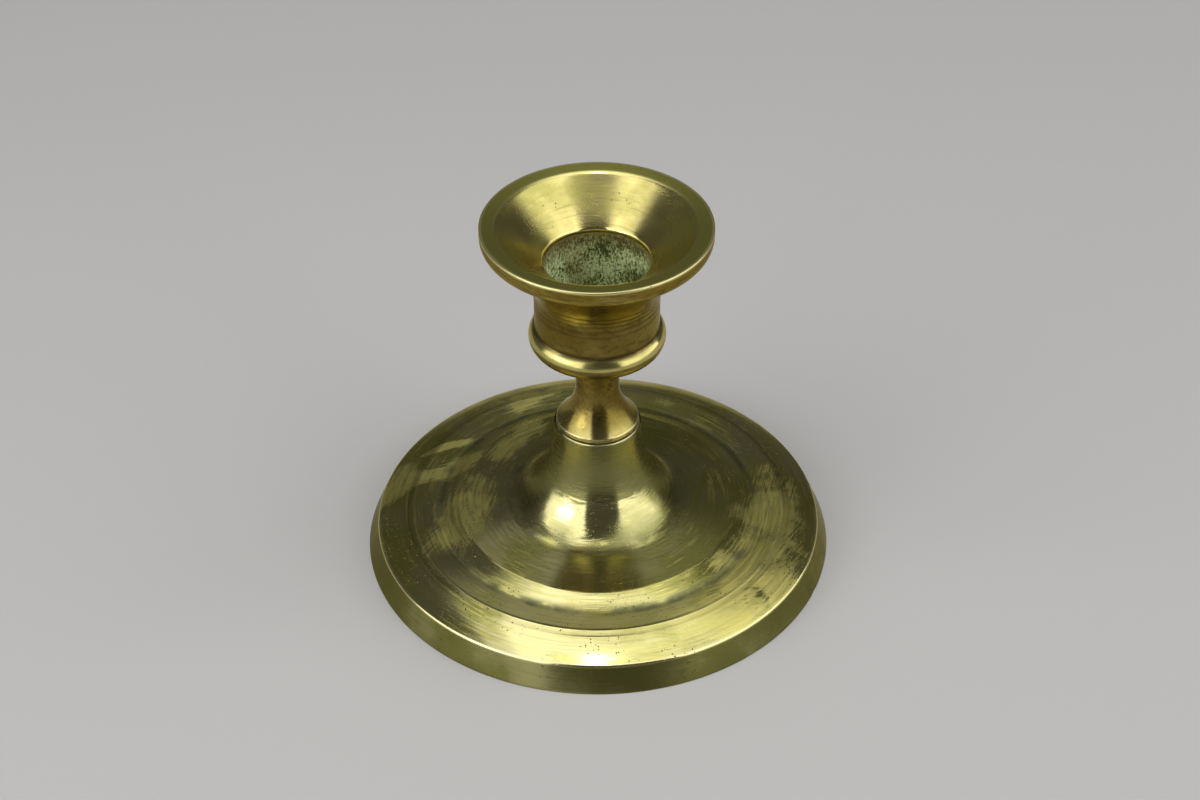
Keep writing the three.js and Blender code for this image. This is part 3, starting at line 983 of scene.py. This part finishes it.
turned_sheen(tree, shader)
relief = add_up(tree, 0.0, [
    (marks, add_up(tree, 0.006 * mm, [(neglect, 0.02 * mm)])),
    (arcs, 0.007 * mm),
    (rub, -0.004 * mm),
    (pitted, -0.05 * mm),
    (times(tree, film, crust), 0.25 * mm),
])
raised(tree, shader, relief)
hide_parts("candle_cup")
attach(cup, "cup")

# The studio
# A plain pale floor in a plain dim grey room. Two upright soft boxes stand at the front left and right,
# the left one brighter low down; one hangs overhead, brighter towards its middle; a weak one is behind.
floor_half = 4.0
floor_grey = (0.48, 0.475, 0.465, 1)
floor_mesh = bpy.data.meshes.new("floor")
floor_corners = [(-floor_half, -floor_half, 0), (floor_half, -floor_half, 0),
                 (floor_half, floor_half, 0), (-floor_half, floor_half, 0)]
floor_mesh.from_pydata(floor_corners, [], [(0, 1, 2, 3)])
floor = bpy.data.objects.new("floor", floor_mesh)
bpy.context.scene.collection.objects.link(floor)
tree, shader, place = new_material(floor, "pale_floor")
shader["Base Color"].default_value = floor_grey
shader["Roughness"].default_value = 0.7

light_radiance = 1.8


def soft_box(name, place, facing, width, height, share=1.0, shape="RECTANGLE"):
    """A flat lamp at a place, facing a direction, at a share of the common brightness."""
    lamp = bpy.data.lights.new(name, "AREA")
    lamp.shape = shape
    lamp.size = width
    lamp.size_y = height
    lamp.energy = share * light_radiance * math.pi * width * height
    holder = bpy.data.objects.new(name, lamp)
    holder.location = place
    holder.rotation_euler = facing.to_track_quat("-Z", "Y").to_euler()
    holder.visible_camera = False
    bpy.context.scene.collection.objects.link(holder)


def towards(azimuth, elevation=0):
    """A direction seen from the object. Azimuth 0 is the camera's side, positive to its right."""
    turn, rise = math.radians(azimuth), math.radians(elevation)
    return Vector((math.cos(rise) * math.sin(turn), -math.cos(rise) * math.cos(turn), math.sin(rise)))


left = towards(-56.5)
right = towards(74)
back = towards(180, 54)
down = Vector((0, 0, -1))
box_distance = 0.7
box_middle = Vector((0, 0, 0.76))
core_distance = 0.69
core_middle = Vector((0, 0, 0.31))
soft_box("left_soft_box", box_distance * left + box_middle, -left, width=0.96, height=1.46)
soft_box("right_soft_box", box_distance * right + box_middle, -right, width=1.06, height=1.46)
soft_box("overhead_soft_box", Vector((0, 0.12, 1.0)), down, width=0.95, height=0.84, share=0.6)
soft_box("overhead_middle", Vector((0, 0.06, 0.995)), down, width=0.66, height=0.7, share=0.38)
soft_box("overhead_core", Vector((0, -0.07, 0.99)), down, width=0.13, height=0.1, share=5.0, shape="ELLIPSE")
soft_box(
    "left_core", core_distance * left + core_middle, -left, width=0.4, height=0.3, share=1.4, shape="ELLIPSE")
soft_box("back_soft_box", back, -back, width=0.5, height=0.24, share=0.14)

horizon_grey = (0.08, 0.08, 0.08, 1)
ceiling_grey = (0.045, 0.045, 0.045, 1)
world = bpy.data.worlds.new("studio_room")
world.use_nodes = True
bpy.context.scene.world = world
tree = world.node_tree
looking = add(tree, "ShaderNodeTexCoord").outputs["Generated"]
rise = add(tree, "ShaderNodeSeparateXYZ", {0: looking}).outputs["Z"]
room = coats(tree, horizon_grey, [(ease(tree, rise, 0.0, 0.4), ceiling_grey)])
background = next(node for node in tree.nodes if node.type == "BACKGROUND")
tree.links.new(room, background.inputs["Color"])

camera = bpy.data.cameras.new("camera")
camera.lens = 67.9
camera.sensor_width = 36
camera.clip_start = 0.01
camera_holder = bpy.data.objects.new("camera", camera)
camera_place = Vector((0, -380.3 * mm, 336 * mm))
camera_aim = Vector((0.54 * mm, 0, 37.24 * mm))
camera_roll = math.radians(-0.2)
facing = (camera_aim - camera_place).to_track_quat("-Z", "Y").to_matrix().to_4x4()
camera_holder.matrix_world = Matrix.Translation(camera_place) @ facing @ Matrix.Rotation(camera_roll, 4, "Z")
bpy.context.scene.collection.objects.link(camera_holder)
bpy.context.scene.camera = camera_holder
bpy.context.scene.view_settings.view_transform = "Standard"
